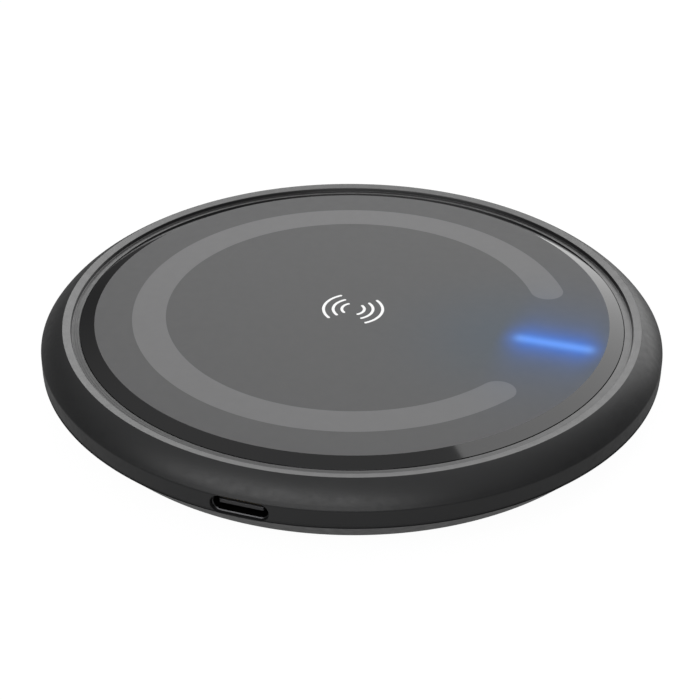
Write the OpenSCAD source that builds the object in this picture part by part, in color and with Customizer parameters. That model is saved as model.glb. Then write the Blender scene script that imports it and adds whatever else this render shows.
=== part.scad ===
// Round wireless charging pad with a USB-C socket in its side and a lit status bar in its face.
// Millimetres, +Z up. The origin is the centre of the resting face, under the middle of the pad.
// The socket faces -Y and the status bar lies along +X.

/* [Pad] */
// Outer radius of the pad
pad_r = 50; // [49.5:0.5:54]
// Height from the resting face to the charging face
pad_h = 11; // [11:0.1:12]
// How far the foot stands below the base
foot_proud = 0.5; // [0.3:0.1:0.6]

/* [Housing] */
// Height of the line where the two housings part
parting_z = 4.9; // [4.8:0.1:5.2]
// Height of the groove that shows at the parting line
groove_h = 0.5; // [0.3:0.05:0.6]
// Depth of that groove
groove_depth = 0.25; // [0.2:0.05:0.8]
// Height of the soft edge where the shoulder starts
edge_z = 7.5; // [7:0.1:8]
// How far the shoulder bulges out of a straight slope
shoulder_bulge = 0.3; // [0:0.05:0.5]
// Thickness of the side wall, level
wall_t = 2.7; // [2.4:0.1:2.9]
// Thickness of the floor
floor_t = 1.6; // [1.5:0.1:1.8]
// Thickness of the deck under the top plate
deck_t = 0.8; // [0.6:0.1:1]

/* [Top plate] */
// Radius of the flat printed face
face_r = 41.3; // [40:0.1:41.4]
// Level width of the polished bevel
bevel_w = 2.35; // [1.5:0.05:2.45]
// Drop of the polished bevel
bevel_drop = 0.8; // [0.5:0.05:0.9]
// Thickness of the printed film
film_t = 0.4; // [0.3:0.05:0.5]
// Depth of the inlaid print
print_t = 0.2; // [0.1:0.05:0.2]

/* [Print and light] */
// Middle radius of the open band
band_r = 32.64; // [31:0.1:33]
// Width of the open band
band_w = 5.38; // [4:0.1:6]
// Angle from the status bar to the middle of each rounded band end
band_end = 29.3; // [25:0.1:40]
// Length of the status bar
bar_l = 12.2; // [8:0.1:12.2]
// Width of the status bar
bar_w = 1.5; // [1:0.1:2]
// Radius at which the status bar starts
bar_start_r = 27.2; // [27.2:0.1:27.4]

/* [Socket] */
// Height of the middle of the socket
port_z = 6; // [5.9:0.1:6.1]
// Width of the opening in the side wall
port_w = 8.9; // [8.8:0.1:9]
// Height of the opening in the side wall
port_h = 2.95; // [2.9:0.05:3.1]

/* [Coil] */
// Number of turns
coil_turns = 10; // [6:1:10]
// Diameter of the litz wire
wire_d = 1.2; // [1:0.05:1.2]
// Inner radius, to the middle of the wire
coil_r = 10; // [8:0.5:10]

/* [Hidden] */

round_fn = 128;
small_fn = 32;
wire_fn = 16;
eps = 0.01;
over = 1; // how far a cutting tool stands out of what it cuts

// Levels, from the base up
base_z = foot_proud;
floor_z = base_z + floor_t;
deck_drop = 2;
deck_z = pad_h - deck_drop;
deck_under_z = deck_z - deck_t;
adhesive_t = 0.2;
plate_z = deck_z + adhesive_t;
film_z = pad_h - film_t;
print_z = pad_h - print_t;

// Side: the chamfer under the groove, the soft edge and the crest of the shoulder
chamfer_drop = 0.25;
chamfer_z = parting_z - chamfer_drop;
chamfer_w = 3.95;
base_r = pad_r - chamfer_w;
groove_top_z = chamfer_z + groove_h;
groove_r = pad_r - groove_depth;
edge_break = 0.25;
shoulder_steps = 12;
shoulder_w = 3.6;
crest_r = pad_r - shoulder_w;
crest_drop = 0.18;
crest_z = pad_h - crest_drop;
shoulder_h = crest_z - edge_z;
shoulder_l = norm([shoulder_w, shoulder_h]);
inner_r = pad_r - wall_t;
inner_break = 0.3;
shell_shelf_z = 5.9;

// The lip of the lower housing stands in a rebate of the upper one
lip_t = 0.85;
lip_h = 0.85;
lip_gap = 0.05;

// Top plate, and the ring round it: a ledge a little under the bevel, a steep step, a land
plate_r = face_r + bevel_w;
bevel_z = pad_h - bevel_drop;
adhesive_inset = 1;
ring_gap = 0.1;
ring_r = plate_r + ring_gap;
ring_drop = 0.05;
ring_z = bevel_z - ring_drop;
land_w = 1.3;
land_slope = 0.24;
land_r = crest_r - land_w;
land_z = crest_z - land_slope;
step_w = 0.15;
step_h = 0.6;
ledge_r = land_r - step_w;
ledge_z = land_z - step_h;

// Foot and its groove
foot_r = 39.5;
foot_w = 6.4;
foot_gap = 0.1;
foot_inlet = 0.5;
foot_seat_z = base_z + foot_inlet;
foot_break = 0.2;

// Housing screws, under the foot
screw_count = 4;
screw_circle_r = foot_r;
screw_first_angle = 45;
screw_r = 1;
screw_head_r = 1.9;
screw_head_h = 1.2;
screw_l = 5;
screw_clear = 0.15;
boss_r = 3;
screw_seat_z = foot_seat_z + 1.3;
screw_bottom_gap = 0.3;
head_clear = 0.2;
recess_w = 1.3; // width of a cross recess, as a part of the head's radius
housing_recess_h = 0.7;
board_recess_h = 0.4;

// Circuit board, level with the underside of the socket
usb_w = 8.94;
usb_h = 3.26;
usb_wall = 0.3;
usb_wall_h = 0.35;
usb_l = 7.3;
usb_inset = 0.8;
usb_front_y = usb_inset - pad_r;
usb_pocket = 0.1;
usb_pocket_y = 2 - inner_r;
flare = 0.15;
flare_depth = 0.3;
board_z = port_z - usb_h / 2;
board_t = 1;
board_r = 35;
board_tab_w = 16;
board_tab_y = 1.5 - inner_r;
board_tab_end_y = -20;
post_angles = [20, 160, 200, 340];
post_circle_r = 31.5;
post_r = 2;
board_screw_r = 0.8;
board_screw_head_r = 1.4;
board_screw_head_h = 0.8;
board_screw_l = 2.9;

// Socket insides
tongue_w = 6.69;
tongue_t = 0.7;
tongue_tip_y = usb_front_y + 0.3;
contact_y = tongue_tip_y + 0.5;
tongue_base_l = 1.6;
contact_w = 0.25;
contact_pitch = 0.5;
contact_l = 3.6;
contact_t = 0.08;
contact_count = 12;
leg_w = 0.8;
leg_t = 0.3;
leg_drop = 1.3;
leg_gap = 0.1;
leg_places = [2, usb_l - 1];

// Coil stack
tape_t = 0.1;
tape_inset = 1;
ferrite_t = 0.9;
ferrite_r = 25.5;
ferrite_hole_r = 3;
ferrite_z = board_z + tape_t;
coil_z = ferrite_z + ferrite_t + wire_d / 2;
wire_gap = 0.05;
coil_pitch = wire_d + wire_gap;
coil_end_r = coil_r + coil_turns * coil_pitch;
coil_angle = 30;
lead_gap = 0.03;
lead_top_z = coil_z + wire_d + lead_gap;
outer_lead_r = ferrite_r + 1.2;
inner_lead_r = ferrite_r + 3.2;

// Light path
bar_mid_r = bar_start_r + bar_l / 2;
bar_gap = 0.1;
guide_low_z = board_z + 1;
guide_flange_w = 2.8;
guide_flange_t = 0.4;
led_l = 1.6;
led_w = 0.8;
led_h = 0.6;
led_places = [28.9, 32.9];

// Wave symbol: three arcs on each side of the middle
symbol_radii = [1.82, 3.22, 4.78];
symbol_stroke = 0.47;
symbol_half_angle = 50;
symbol_turn = 3.3;
symbol_at = [0.15, 0.1];

// Components on the board: length, width and height
chip_size = [5, 5, 0.85];
mosfet_size = [3.3, 3.3, 0.8];
resonant_size = [2.5, 3.2, 1.9];
filter_size = [2, 1.25, 0.9];
inductor_size = [4.2, 4.2, 2];
crystal_size = [2.5, 3.2, 0.7];
resistor_size = [1.6, 0.8, 0.45];
thermistor_size = [1.6, 0.8, 0.8];
part_r = 30.5;

// Outline of the shoulder, from the soft edge up to the crest
shoulder = [for (i = [0:shoulder_steps])
    let (t = i / shoulder_steps, out = 4 * t * (1 - t) * shoulder_bulge / shoulder_l)
    [pad_r - shoulder_w * t + shoulder_h * out, edge_z + shoulder_h * t + shoulder_w * out]];

// A flat bar with round ends, along X, centred
module stadium(l, w) {
    square([l - w, w], center = true);
    translate([(l - w) / 2, 0]) circle(d = w, $fn = small_fn);
    translate([-(l - w) / 2, 0]) circle(d = w, $fn = small_fn);
}

// The status bar's outline, grown by a gap all round
module bar_outline(gap = 0) {
    translate([bar_mid_r, 0]) stadium(bar_l + 2 * gap, bar_w + 2 * gap);
}

// A bar with round ends that runs along Y between two places, seen from the front of the socket
module socket_bar(w, h, from_y, to_y) {
    translate([0, to_y, port_z]) rotate([90, 0, 0])
        linear_extrude(height = to_y - from_y) stadium(w, h);
}

// A small flare round the mouth of the socket
module socket_flare() {
    low_r = port_h / 2 + flare + eps;
    reach = port_w / 2 - port_h / 2;
    for (side = [-1, 1])
        translate([side * reach, -pad_r - eps, port_z]) rotate([-90, 0, 0])
            cylinder(r1 = low_r, r2 = low_r - flare_depth, h = flare_depth, $fn = small_fn);
    translate([-reach, -pad_r - eps, port_z]) rotate([90, 0, 90])
        linear_extrude(height = 2 * reach)
            polygon([[0, -low_r], [flare_depth, flare_depth - low_r],
                     [flare_depth, low_r - flare_depth], [0, low_r]]);
}

// What the socket takes out of the side wall
module socket_room() {
    socket_bar(port_w, port_h, -pad_r - over, usb_front_y + eps);
    socket_bar(usb_w + 2 * usb_pocket, usb_h + 2 * usb_pocket, usb_front_y, usb_pocket_y);
    socket_flare();
}

// Puts a child at each screw of the housing
module at_screws() {
    for (i = [0:screw_count - 1])
        rotate([0, 0, screw_first_angle + i * 360 / screw_count])
            translate([screw_circle_r, 0, 0]) children();
}

// Puts a child at each post of the board
module at_posts() {
    for (a = post_angles) rotate([0, 0, a]) translate([post_circle_r, 0, 0]) children();
}

// A component that stands on the board
module board_part(angle, size, r = part_r) {
    rotate([0, 0, angle]) translate([r, 0, board_z + size[2] / 2]) cube(size, center = true);
}

// A cross recess for a screwdriver, cut down from z = 0
module cross_recess(w, depth) {
    for (a = [0, 90]) rotate([0, 0, a])
        translate([0, 0, -depth / 2 + eps]) cube([w, w / 4, depth], center = true);
}

module foot_ring() {
    in_r = foot_r - foot_w / 2 + foot_gap;
    out_r = foot_r + foot_w / 2 - foot_gap;
    color([0.05, 0.05, 0.05]) rotate_extrude($fn = round_fn)
        polygon([[in_r, foot_break], [in_r + foot_break, 0], [out_r - foot_break, 0],
                 [out_r, foot_break], [out_r, foot_seat_z], [in_r, foot_seat_z]]);
}

module lower_housing() {
    color([0.13, 0.13, 0.14]) difference() {
        union() {
            rotate_extrude($fn = round_fn)
                polygon([[0, base_z], [base_r, base_z], [pad_r, chamfer_z], [groove_r, chamfer_z],
                         [groove_r, parting_z], [inner_r + lip_t, parting_z],
                         [inner_r + lip_t, parting_z + lip_h], [inner_r, parting_z + lip_h],
                         [inner_r, parting_z], [inner_r - (parting_z - floor_z), floor_z],
                         [0, floor_z]]);
            at_screws() translate([0, 0, floor_z - eps])
                cylinder(r = boss_r, h = parting_z - floor_z + eps, $fn = small_fn);
            at_posts() translate([0, 0, floor_z - eps])
                cylinder(r = post_r, h = board_z - board_t - floor_z + eps, $fn = small_fn);
        }
        translate([0, 0, base_z - over]) linear_extrude(height = foot_inlet + over) difference() {
            circle(r = foot_r + foot_w / 2, $fn = round_fn);
            circle(r = foot_r - foot_w / 2, $fn = round_fn);
        }
        at_screws() {
            translate([0, 0, foot_seat_z - eps])
                cylinder(r = screw_head_r + head_clear, h = screw_seat_z - foot_seat_z + eps,
                         $fn = small_fn);
            translate([0, 0, screw_seat_z - eps])
                cylinder(r = screw_r + screw_clear, h = parting_z, $fn = small_fn);
        }
        at_posts() translate([0, 0, board_z - board_screw_l])
            cylinder(r = board_screw_r, h = board_screw_l, $fn = small_fn);
        socket_room();
    }
}

module upper_housing() {
    color([0.16, 0.16, 0.17]) difference() {
        union() {
            rotate_extrude($fn = round_fn)
                polygon(concat(
                    [[0, deck_under_z], [inner_r - inner_break, deck_under_z],
                     [inner_r, deck_under_z - inner_break],
                     [inner_r, shell_shelf_z], [inner_r + lip_t + lip_gap, shell_shelf_z],
                     [inner_r + lip_t + lip_gap, parting_z], [groove_r, parting_z],
                     [groove_r, groove_top_z], [pad_r - edge_break, groove_top_z],
                     [pad_r, groove_top_z + edge_break]],
                    shoulder,
                    [[crest_r, deck_z], [0, deck_z]]));
            at_screws() translate([0, 0, parting_z])
                cylinder(r = boss_r, h = deck_under_z - parting_z + eps, $fn = small_fn);
        }
        at_screws() translate([0, 0, parting_z - eps])
            cylinder(r = screw_r, h = screw_seat_z + screw_l - parting_z + screw_bottom_gap,
                     $fn = small_fn);
        translate([0, 0, deck_under_z - over]) linear_extrude(height = deck_t + 2 * over)
            bar_outline(bar_gap);
        socket_room();
    }
}

module trim_ring() {
    color([0.3, 0.3, 0.31]) rotate_extrude($fn = round_fn)
        polygon([[ring_r, deck_z], [crest_r, deck_z], [crest_r, crest_z], [land_r, land_z],
                 [ledge_r, ledge_z], [ring_r, ring_z]]);
}

module top_plate() {
    color([0.03, 0.03, 0.035]) difference() {
        rotate_extrude($fn = round_fn)
            polygon([[0, plate_z], [plate_r, plate_z], [plate_r, bevel_z], [face_r, pad_h],
                     [face_r, film_z], [0, film_z]]);
        translate([0, 0, plate_z - over]) linear_extrude(height = film_z - plate_z + 2 * over)
            bar_outline(bar_gap);
    }
}

module plate_adhesive() {
    color([0.85, 0.85, 0.8]) translate([0, 0, deck_z]) difference() {
        cylinder(r = plate_r - adhesive_inset, h = adhesive_t, $fn = round_fn);
        translate([0, 0, -over]) linear_extrude(height = adhesive_t + 2 * over) bar_outline(bar_gap);
    }
}

// A flat bar of width w bent along a radius, with round ends, from -half_angle to half_angle
module arc_bar(r, w, half_angle, h, fn) {
    rotate([0, 0, -half_angle]) rotate_extrude(angle = 2 * half_angle, $fn = fn)
        translate([r - w / 2, 0]) square([w, h]);
    for (side = [-1, 1])
        rotate([0, 0, side * half_angle]) translate([r, 0, 0]) cylinder(d = w, h = h, $fn = small_fn);
}

// The open band, which leaves room for the status bar
module band_bar(h) {
    rotate([0, 0, 180]) arc_bar(band_r, band_w, 180 - band_end, h, round_fn);
}

// The wave symbol: arcs of growing radius on both sides of the middle
module symbol_bars(h) {
    translate(symbol_at) for (turn = [0, 180], r = symbol_radii)
        rotate([0, 0, turn + symbol_turn]) arc_bar(r, symbol_stroke, symbol_half_angle, h, 64);
}

module face_film() {
    color([0.4, 0.4, 0.41]) difference() {
        translate([0, 0, film_z]) cylinder(r = face_r, h = film_t, $fn = round_fn);
        translate([0, 0, print_z]) band_bar(over);
        translate([0, 0, print_z]) symbol_bars(over);
        translate([0, 0, film_z - over]) linear_extrude(height = film_t + 2 * over) bar_outline();
    }
}

module band_print() {
    color([0.52, 0.52, 0.53]) translate([0, 0, print_z]) band_bar(print_t);
}

module charge_symbol() {
    color([0.95, 0.95, 0.95]) translate([0, 0, print_z]) symbol_bars(print_t);
}

module light_window() {
    color([0.3, 0.55, 1]) translate([0, 0, film_z]) linear_extrude(height = film_t) bar_outline();
}

module light_guide() {
    color([0.75, 0.85, 1]) union() {
        translate([0, 0, guide_low_z]) linear_extrude(height = film_z - guide_low_z) bar_outline();
        translate([0, 0, deck_under_z - guide_flange_t]) linear_extrude(height = guide_flange_t)
            bar_outline((guide_flange_w - bar_w) / 2);
    }
}

module status_leds() {
    color([0.9, 0.95, 1]) for (x = led_places)
        translate([x, 0, board_z + led_h / 2]) cube([led_l, led_w, led_h], center = true);
}

module circuit_board() {
    color([0.05, 0.28, 0.16]) translate([0, 0, board_z - board_t]) difference() {
        linear_extrude(height = board_t) {
            circle(r = board_r, $fn = round_fn);
            translate([-board_tab_w / 2, board_tab_y])
                square([board_tab_w, board_tab_end_y - board_tab_y]);
        }
        at_posts() translate([0, 0, -over])
            cylinder(r = board_screw_r, h = board_t + 2 * over, $fn = small_fn);
        at_legs() cube([leg_t + 2 * leg_gap, leg_w + 2 * leg_gap, 2 * (board_t + over)], center = true);
    }
}

// Puts a child at each of the socket's four solder legs, which pass through the board
module at_legs() {
    for (side = [-1, 1], y = leg_places)
        translate([side * (usb_w / 2 - leg_t / 2), usb_front_y + y, 0]) children();
}

module usb_shell() {
    color([0.55, 0.55, 0.56]) {
        difference() {
            socket_bar(usb_w, usb_h, usb_front_y, usb_front_y + usb_l);
            socket_bar(usb_w - 2 * usb_wall, usb_h - 2 * usb_wall_h, usb_front_y - over,
                       usb_front_y + usb_l + over);
        }
        at_legs() translate([0, 0, port_z - usb_h / 4 - leg_drop / 2])
            cube([leg_t, leg_w, usb_h / 2 + leg_drop], center = true);
    }
}

module usb_tongue() {
    rear_y = usb_front_y + usb_l;
    color([0.07, 0.07, 0.07]) {
        socket_bar(usb_w - 2 * usb_wall, usb_h - 2 * usb_wall_h, rear_y - tongue_base_l, rear_y);
        translate([-tongue_w / 2, tongue_tip_y, port_z - tongue_t / 2])
            cube([tongue_w, rear_y - tongue_base_l - tongue_tip_y + eps, tongue_t]);
    }
}

module usb_contacts() {
    color([0.85, 0.65, 0.25]) for (i = [0:contact_count - 1], side = [-1, 1])
        translate([(i - (contact_count - 1) / 2) * contact_pitch,
                   contact_y + contact_l / 2,
                   port_z + side * (tongue_t + contact_t) / 2])
            cube([contact_w, contact_l, contact_t], center = true);
}

module ferrite_tape() {
    color([0.8, 0.75, 0.6]) translate([0, 0, board_z]) difference() {
        cylinder(r = ferrite_r - tape_inset, h = tape_t, $fn = round_fn);
        translate([0, 0, -over]) cylinder(r = ferrite_hole_r, h = tape_t + 2 * over, $fn = small_fn);
    }
}

module ferrite_sheet() {
    color([0.2, 0.2, 0.21]) translate([0, 0, ferrite_z]) difference() {
        cylinder(r = ferrite_r, h = ferrite_t, $fn = round_fn);
        translate([0, 0, -over]) cylinder(r = ferrite_hole_r, h = ferrite_t + 2 * over, $fn = small_fn);
    }
}

// Half a turn of round wire about a centre on X
module half_turn(r, centre_x, start) {
    translate([centre_x, 0, coil_z]) rotate([0, 0, start])
        rotate_extrude(angle = 180, $fn = 96) translate([r, 0]) circle(d = wire_d, $fn = wire_fn);
}

// A flat spiral: each half turn is a true arc, and the centre steps by half a pitch
module charging_coil() {
    color([0.75, 0.42, 0.22]) rotate([0, 0, coil_angle])
        for (i = [0:coil_turns - 1]) {
            half_turn(coil_r + i * coil_pitch, 0, 0);
            half_turn(coil_r + (i + 0.5) * coil_pitch, coil_pitch / 2, 180);
        }
}

module coil_leads() {
    lead_r = wire_d / 2;
    color([0.8, 0.5, 0.3]) rotate([0, 0, coil_angle]) {
        // inner end: up, out over the turns and down to the board
        translate([coil_r, 0, coil_z + lead_r])
            cylinder(r = lead_r, h = lead_top_z - coil_z - lead_r, $fn = wire_fn);
        translate([coil_r, 0, lead_top_z]) sphere(r = lead_r, $fn = wire_fn);
        translate([coil_r, 0, lead_top_z]) rotate([0, 90, 0])
            cylinder(r = lead_r, h = inner_lead_r - coil_r, $fn = wire_fn);
        translate([inner_lead_r, 0, lead_top_z]) sphere(r = lead_r, $fn = wire_fn);
        translate([inner_lead_r, 0, board_z]) cylinder(r = lead_r, h = lead_top_z - board_z, $fn = wire_fn);
        // outer end: straight out and down to the board
        translate([coil_end_r + lead_r, 0, coil_z]) rotate([0, 90, 0])
            cylinder(r = lead_r, h = outer_lead_r - coil_end_r - lead_r, $fn = wire_fn);
        translate([outer_lead_r, 0, coil_z]) sphere(r = lead_r, $fn = wire_fn);
        translate([outer_lead_r, 0, board_z]) cylinder(r = lead_r, h = coil_z - board_z, $fn = wire_fn);
    }
}

module thermistor() {
    color([0.1, 0.1, 0.1]) board_part(0, thermistor_size, r = 0);
}

module controller_chip() {
    color([0.08, 0.08, 0.08]) board_part(100, chip_size);
}

module power_mosfets() {
    color([0.12, 0.12, 0.12]) for (i = [0:3]) board_part(115 + 9 * i, mosfet_size);
}

module resonant_capacitors() {
    color([0.72, 0.6, 0.42]) for (i = [0:3]) board_part(58 + 9 * i, resonant_size);
}

module filter_capacitors() {
    color([0.75, 0.65, 0.5]) for (i = [0:5]) board_part(256 + 5.6 * i, filter_size);
}

module power_inductor() {
    color([0.3, 0.3, 0.3]) board_part(225, inductor_size);
}

module crystal() {
    color([0.8, 0.8, 0.82]) board_part(300, crystal_size);
}

module resistors() {
    color([0.15, 0.15, 0.16]) for (i = [0:5], r = [28.5, 32.5]) board_part(308 + 4.5 * i, resistor_size, r);
}

module board_screws() {
    color([0.7, 0.7, 0.72]) at_posts() difference() {
        union() {
            translate([0, 0, board_z - board_screw_l])
                cylinder(r = board_screw_r, h = board_screw_l + eps, $fn = small_fn);
            translate([0, 0, board_z])
                cylinder(r = board_screw_head_r, h = board_screw_head_h, $fn = small_fn);
        }
        translate([0, 0, board_z + board_screw_head_h])
            cross_recess(board_screw_head_r * recess_w, board_recess_h);
    }
}

module housing_screws() {
    color([0.7, 0.7, 0.72]) at_screws() difference() {
        union() {
            translate([0, 0, screw_seat_z - screw_head_h])
                cylinder(r = screw_head_r, h = screw_head_h, $fn = small_fn);
            translate([0, 0, screw_seat_z - eps])
                cylinder(r = screw_r, h = screw_l + eps, $fn = small_fn);
        }
        translate([0, 0, screw_seat_z - screw_head_h]) mirror([0, 0, 1])
            cross_recess(screw_head_r * recess_w, housing_recess_h);
    }
}

foot_ring();
lower_housing();
upper_housing();
trim_ring();
top_plate();
plate_adhesive();
face_film();
band_print();
charge_symbol();
light_window();
light_guide();
status_leds();
circuit_board();
usb_shell();
usb_tongue();
usb_contacts();
ferrite_tape();
ferrite_sheet();
charging_coil();
coil_leads();
thermistor();
controller_chip();
power_mosfets();
resonant_capacitors();
filter_capacitors();
power_inductor();
crystal();
resistors();
board_screws();
housing_screws();
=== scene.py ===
# Looks of a round wireless charging pad, built round its CAD frame.
# The pad stands on z = 0, its socket faces -Y and its status bar lies along +X.
import math

import bpy
from mathutils import Matrix, Vector


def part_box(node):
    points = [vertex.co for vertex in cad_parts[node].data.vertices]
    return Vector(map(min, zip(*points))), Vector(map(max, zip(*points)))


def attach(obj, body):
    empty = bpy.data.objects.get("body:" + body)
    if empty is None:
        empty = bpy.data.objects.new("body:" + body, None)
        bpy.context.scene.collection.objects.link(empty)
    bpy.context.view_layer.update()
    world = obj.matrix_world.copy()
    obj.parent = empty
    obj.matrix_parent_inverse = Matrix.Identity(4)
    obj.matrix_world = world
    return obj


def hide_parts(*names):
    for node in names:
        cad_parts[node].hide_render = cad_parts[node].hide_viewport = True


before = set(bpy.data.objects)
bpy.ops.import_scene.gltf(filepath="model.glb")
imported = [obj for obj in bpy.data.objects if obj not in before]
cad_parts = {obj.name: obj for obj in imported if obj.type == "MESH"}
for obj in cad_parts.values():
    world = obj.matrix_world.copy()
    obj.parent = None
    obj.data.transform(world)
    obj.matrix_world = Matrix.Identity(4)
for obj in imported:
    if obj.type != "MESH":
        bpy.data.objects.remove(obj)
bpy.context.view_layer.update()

MM = 0.001  # sizes below are in millimetres, unless they say otherwise
WAVE_PER_TURN = 0.314  # a wave texture of scale s repeats every 0.314 / s
TURN = 2 * math.pi
ROUND_STEPS = 288
SMALL_STEPS = 48
CORNER_STEPS = 5
SOFT_ANGLE = 32  # edges that turn by more degrees than this stay sharp
BEVEL_SHARP = 12  # the same for the plate, whose bevel slopes little
DOUBLES = 0.0002 * MM  # points nearer than this are one
OVER = 1.0  # how far a cutting tool stands out of what it cuts
BITE = 0.2  # how far a boss reaches into the wall that it grows from


# ---------------------------------------------------------------- sizes


def low_corner(node):
    """Lowest corner of a CAD node's box, in millimetres."""
    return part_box(node)[0] / MM


def high_corner(node):
    """Highest corner of a CAD node's box, in millimetres."""
    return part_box(node)[1] / MM


# levels
BASE_Z = low_corner("lower_housing").z
FLOOR_Z = BASE_Z + 1.6
PARTING_Z = 4.9
GROOVE_LOW_Z = PARTING_Z - 0.25
GROOVE_TOP_Z = GROOVE_LOW_Z + 0.5
SHELF_Z = 5.9
SIDE_Z = 6.3  # a point on the upright side, between the groove's edge and the shoulder's
EDGE_Z = 7.5
DECK_Z = low_corner("trim_ring").z
DECK_UNDER_Z = DECK_Z - 0.8
PLATE_Z = low_corner("top_plate").z
FILM_Z = low_corner("face_film").z
FACE_Z = high_corner("face_film").z
PRINT_Z = low_corner("band_print").z

# radii, with the levels that go with them
PAD_R = 49.99
BASE_R = PAD_R - 3.95
GROOVE_R = PAD_R - 0.15
INNER_R = PAD_R - 2.7
CREST_R = high_corner("trim_ring").x
CREST_Z = high_corner("trim_ring").z
LAND_R = CREST_R - 1.3
LAND_Z = CREST_Z - 0.24
LEDGE_R = LAND_R - 0.15
LEDGE_Z = LAND_Z - 0.6
FACE_R = high_corner("face_film").x
PLATE_R = high_corner("top_plate").x
BEVEL_Z = FACE_Z - 0.8
RING_R = PLATE_R + 0.1
RING_Z = BEVEL_Z - 0.05

# shoulder
EDGE_ROUND = 0.6
SHOULDER_BULGE = 0.3
SHOULDER_STEPS = 28
SHOULDER_FIRST = 4  # the steps before this one are in the rounding of the edge

# lip of the base inside the shell
LIP_T = 0.85
LIP_H = 0.85
LIP_GAP = 0.05

# socket
PORT_Z = 6.0
PORT_W = 8.9
PORT_H = 2.95
PORT_ROUND = 0.15
PORT_ROUND_STEPS = 6
MOUTH_INSET = 0.1
SOCKET_FRONT_Y = low_corner("usb_shell").y
SOCKET_BACK_Y = high_corner("usb_shell").y
SOCKET_W = high_corner("usb_shell").x - low_corner("usb_shell").x
SOCKET_H = 3.26
SOCKET_WALL = 0.3
SOCKET_WALL_H = 0.35
SOCKET_ROLL_OUT = 0.1
SOCKET_ROLL_IN = 0.12
POCKET_GAP = 0.1
POCKET_DEEP = 2.0
LEG_LOW_Z = low_corner("usb_shell").z
LEG_T = 0.3
LEG_W = 0.8
LEG_PLACES = (SOCKET_FRONT_Y + 2.0, SOCKET_BACK_Y - 1.0)
TONGUE_TIP_Y = low_corner("usb_tongue").y
TONGUE_W = 6.69
TONGUE_T = 0.7
TONGUE_ROUND = 0.2
TONGUE_ROOT_L = 1.6
TONGUE_SHORT = 1.0  # the bar of the tongue ends this far before the back, inside its root

# screws, posts and foot
SCREW_CIRCLE_R = 39.5
SCREW_ANGLES = [45, 135, 225, 315]
POST_ANGLES = [20, 160, 200, 340]
POST_CIRCLE_R = 31.5
BOSS_R = 3.0
POST_R = 2.0
PILOT_R = 1.0
CLEAR_R = 1.15
HEAD_R = 2.1
SCREW_SEAT_Z = 2.3
PILOT_TOP_Z = 7.6
POST_HOLE_R = 0.8
POST_HOLE_Z = 1.47
BOARD_Z = 4.37
BOARD_T = 1.0
FOOT_SEAT_Z = high_corner("foot_ring").z
FOOT_IN_R = 36.3
FOOT_OUT_R = 42.7
FOOT_GAP = 0.1

# print and light
BAND_R = 32.64
BAND_W = 5.38
BAND_END = math.radians(29.3)
BAND_STEPS = 120
SYMBOL_RADII = [1.82, 3.22, 4.78]
SYMBOL_STROKE = 0.47
SYMBOL_HALF_ANGLE = math.radians(50)
SYMBOL_STEPS = 16
SYMBOL_TURN = math.radians(3.3)
SYMBOL_AT = (0.15, 0.1)
BAR_START = low_corner("light_window").x
BAR_END = high_corner("light_window").x
BAR_W = high_corner("light_window").y - low_corner("light_window").y
BAR_GAP = 0.1

# light of the status bar in the face: millimetres, and linear colours
HALO_SIDE = 4.0
HALO_PAST = 3.4
HALO_INTO = 2.4
HALO_INK = 0.6
HALO_COLOUR = (0.0, 0.06, 0.45)
HAZE_SIDE = 14.0
HAZE_INK = 0.25
CORE_INSET = 0.8
CORE_SIDE = 1.17
CORE_COLOUR = (0.07, 0.15, 0.3)
GLOW_INK = (0.0, 0.07, 0.15)

# linear colours of the housings, the film and the band
SHELL_BLACK = (0.013, 0.0132, 0.0138)
FILM_GREY = (0.0775, 0.0775, 0.079)
BAND_GREY = (0.126, 0.126, 0.128)

# camera: its turn is from the socket towards +X
VIEW_TURN = math.radians(18.4)
VIEW_UP = math.radians(31.41)
VIEW_FAR = 281.4
VIEW_ROLL = math.radians(0.3)
VIEW_AIM = (-0.29, -2.86, 5.0)  # right of, beyond and above the middle, as the camera sees it
LENS = 89.35

# studio, in metres
BOX_AWAY = 0.6
TALL_RADIANCE = 2.0
BEHIND_RADIANCE = 2.6
LOW_RADIANCE = 0.7
FRONT_RADIANCE = 3.0
WALL_GREY = (0.12, 0.12, 0.12)
CEILING_GREY = (0.65, 0.65, 0.65)
BACKDROP_GREY = (0.95, 0.95, 0.95)
FLOOR_R = 4
FLOOR_SEEN = 0.97
FLOOR_GLOW = 0.12
POOL_GLOW = 0.6
POOL_AWAY = 0.1
POOL_R = 0.2
BEYOND_NEAR = 0.055
BEYOND_FAR = 0.12
BEYOND_GLOW = 0.18
SHADE = 0.7
SHADE_IN_R = 0.042
SHADE_OUT_R = 0.075


# ---------------------------------------------------------------- shop tools


def deselect():
    """Leaves edit mode, with nothing selected."""
    if bpy.context.mode != "OBJECT":
        bpy.ops.object.mode_set(mode="OBJECT")
    bpy.ops.object.select_all(action="DESELECT")


def pick(piece):
    """Makes one piece the active and only selected one."""
    deselect()
    piece.select_set(True)
    bpy.context.view_layer.objects.active = piece


def edit_all():
    """Edit mode, with the whole mesh selected."""
    bpy.ops.object.mode_set(mode="EDIT")
    bpy.ops.mesh.select_all(action="SELECT")


def settle(piece):
    """Puts a piece's place and turn into its mesh, so its object is at the origin."""
    pick(piece)
    bpy.ops.object.transform_apply(location=True, rotation=True, scale=True)


def mend(piece):
    """Merges doubles and turns every face outwards."""
    pick(piece)
    edit_all()
    bpy.ops.mesh.remove_doubles(threshold=DOUBLES)
    bpy.ops.mesh.dissolve_degenerate(threshold=DOUBLES / 2)
    bpy.ops.mesh.select_all(action="SELECT")
    bpy.ops.mesh.normals_make_consistent(inside=False)
    bpy.ops.object.mode_set(mode="OBJECT")


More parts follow.
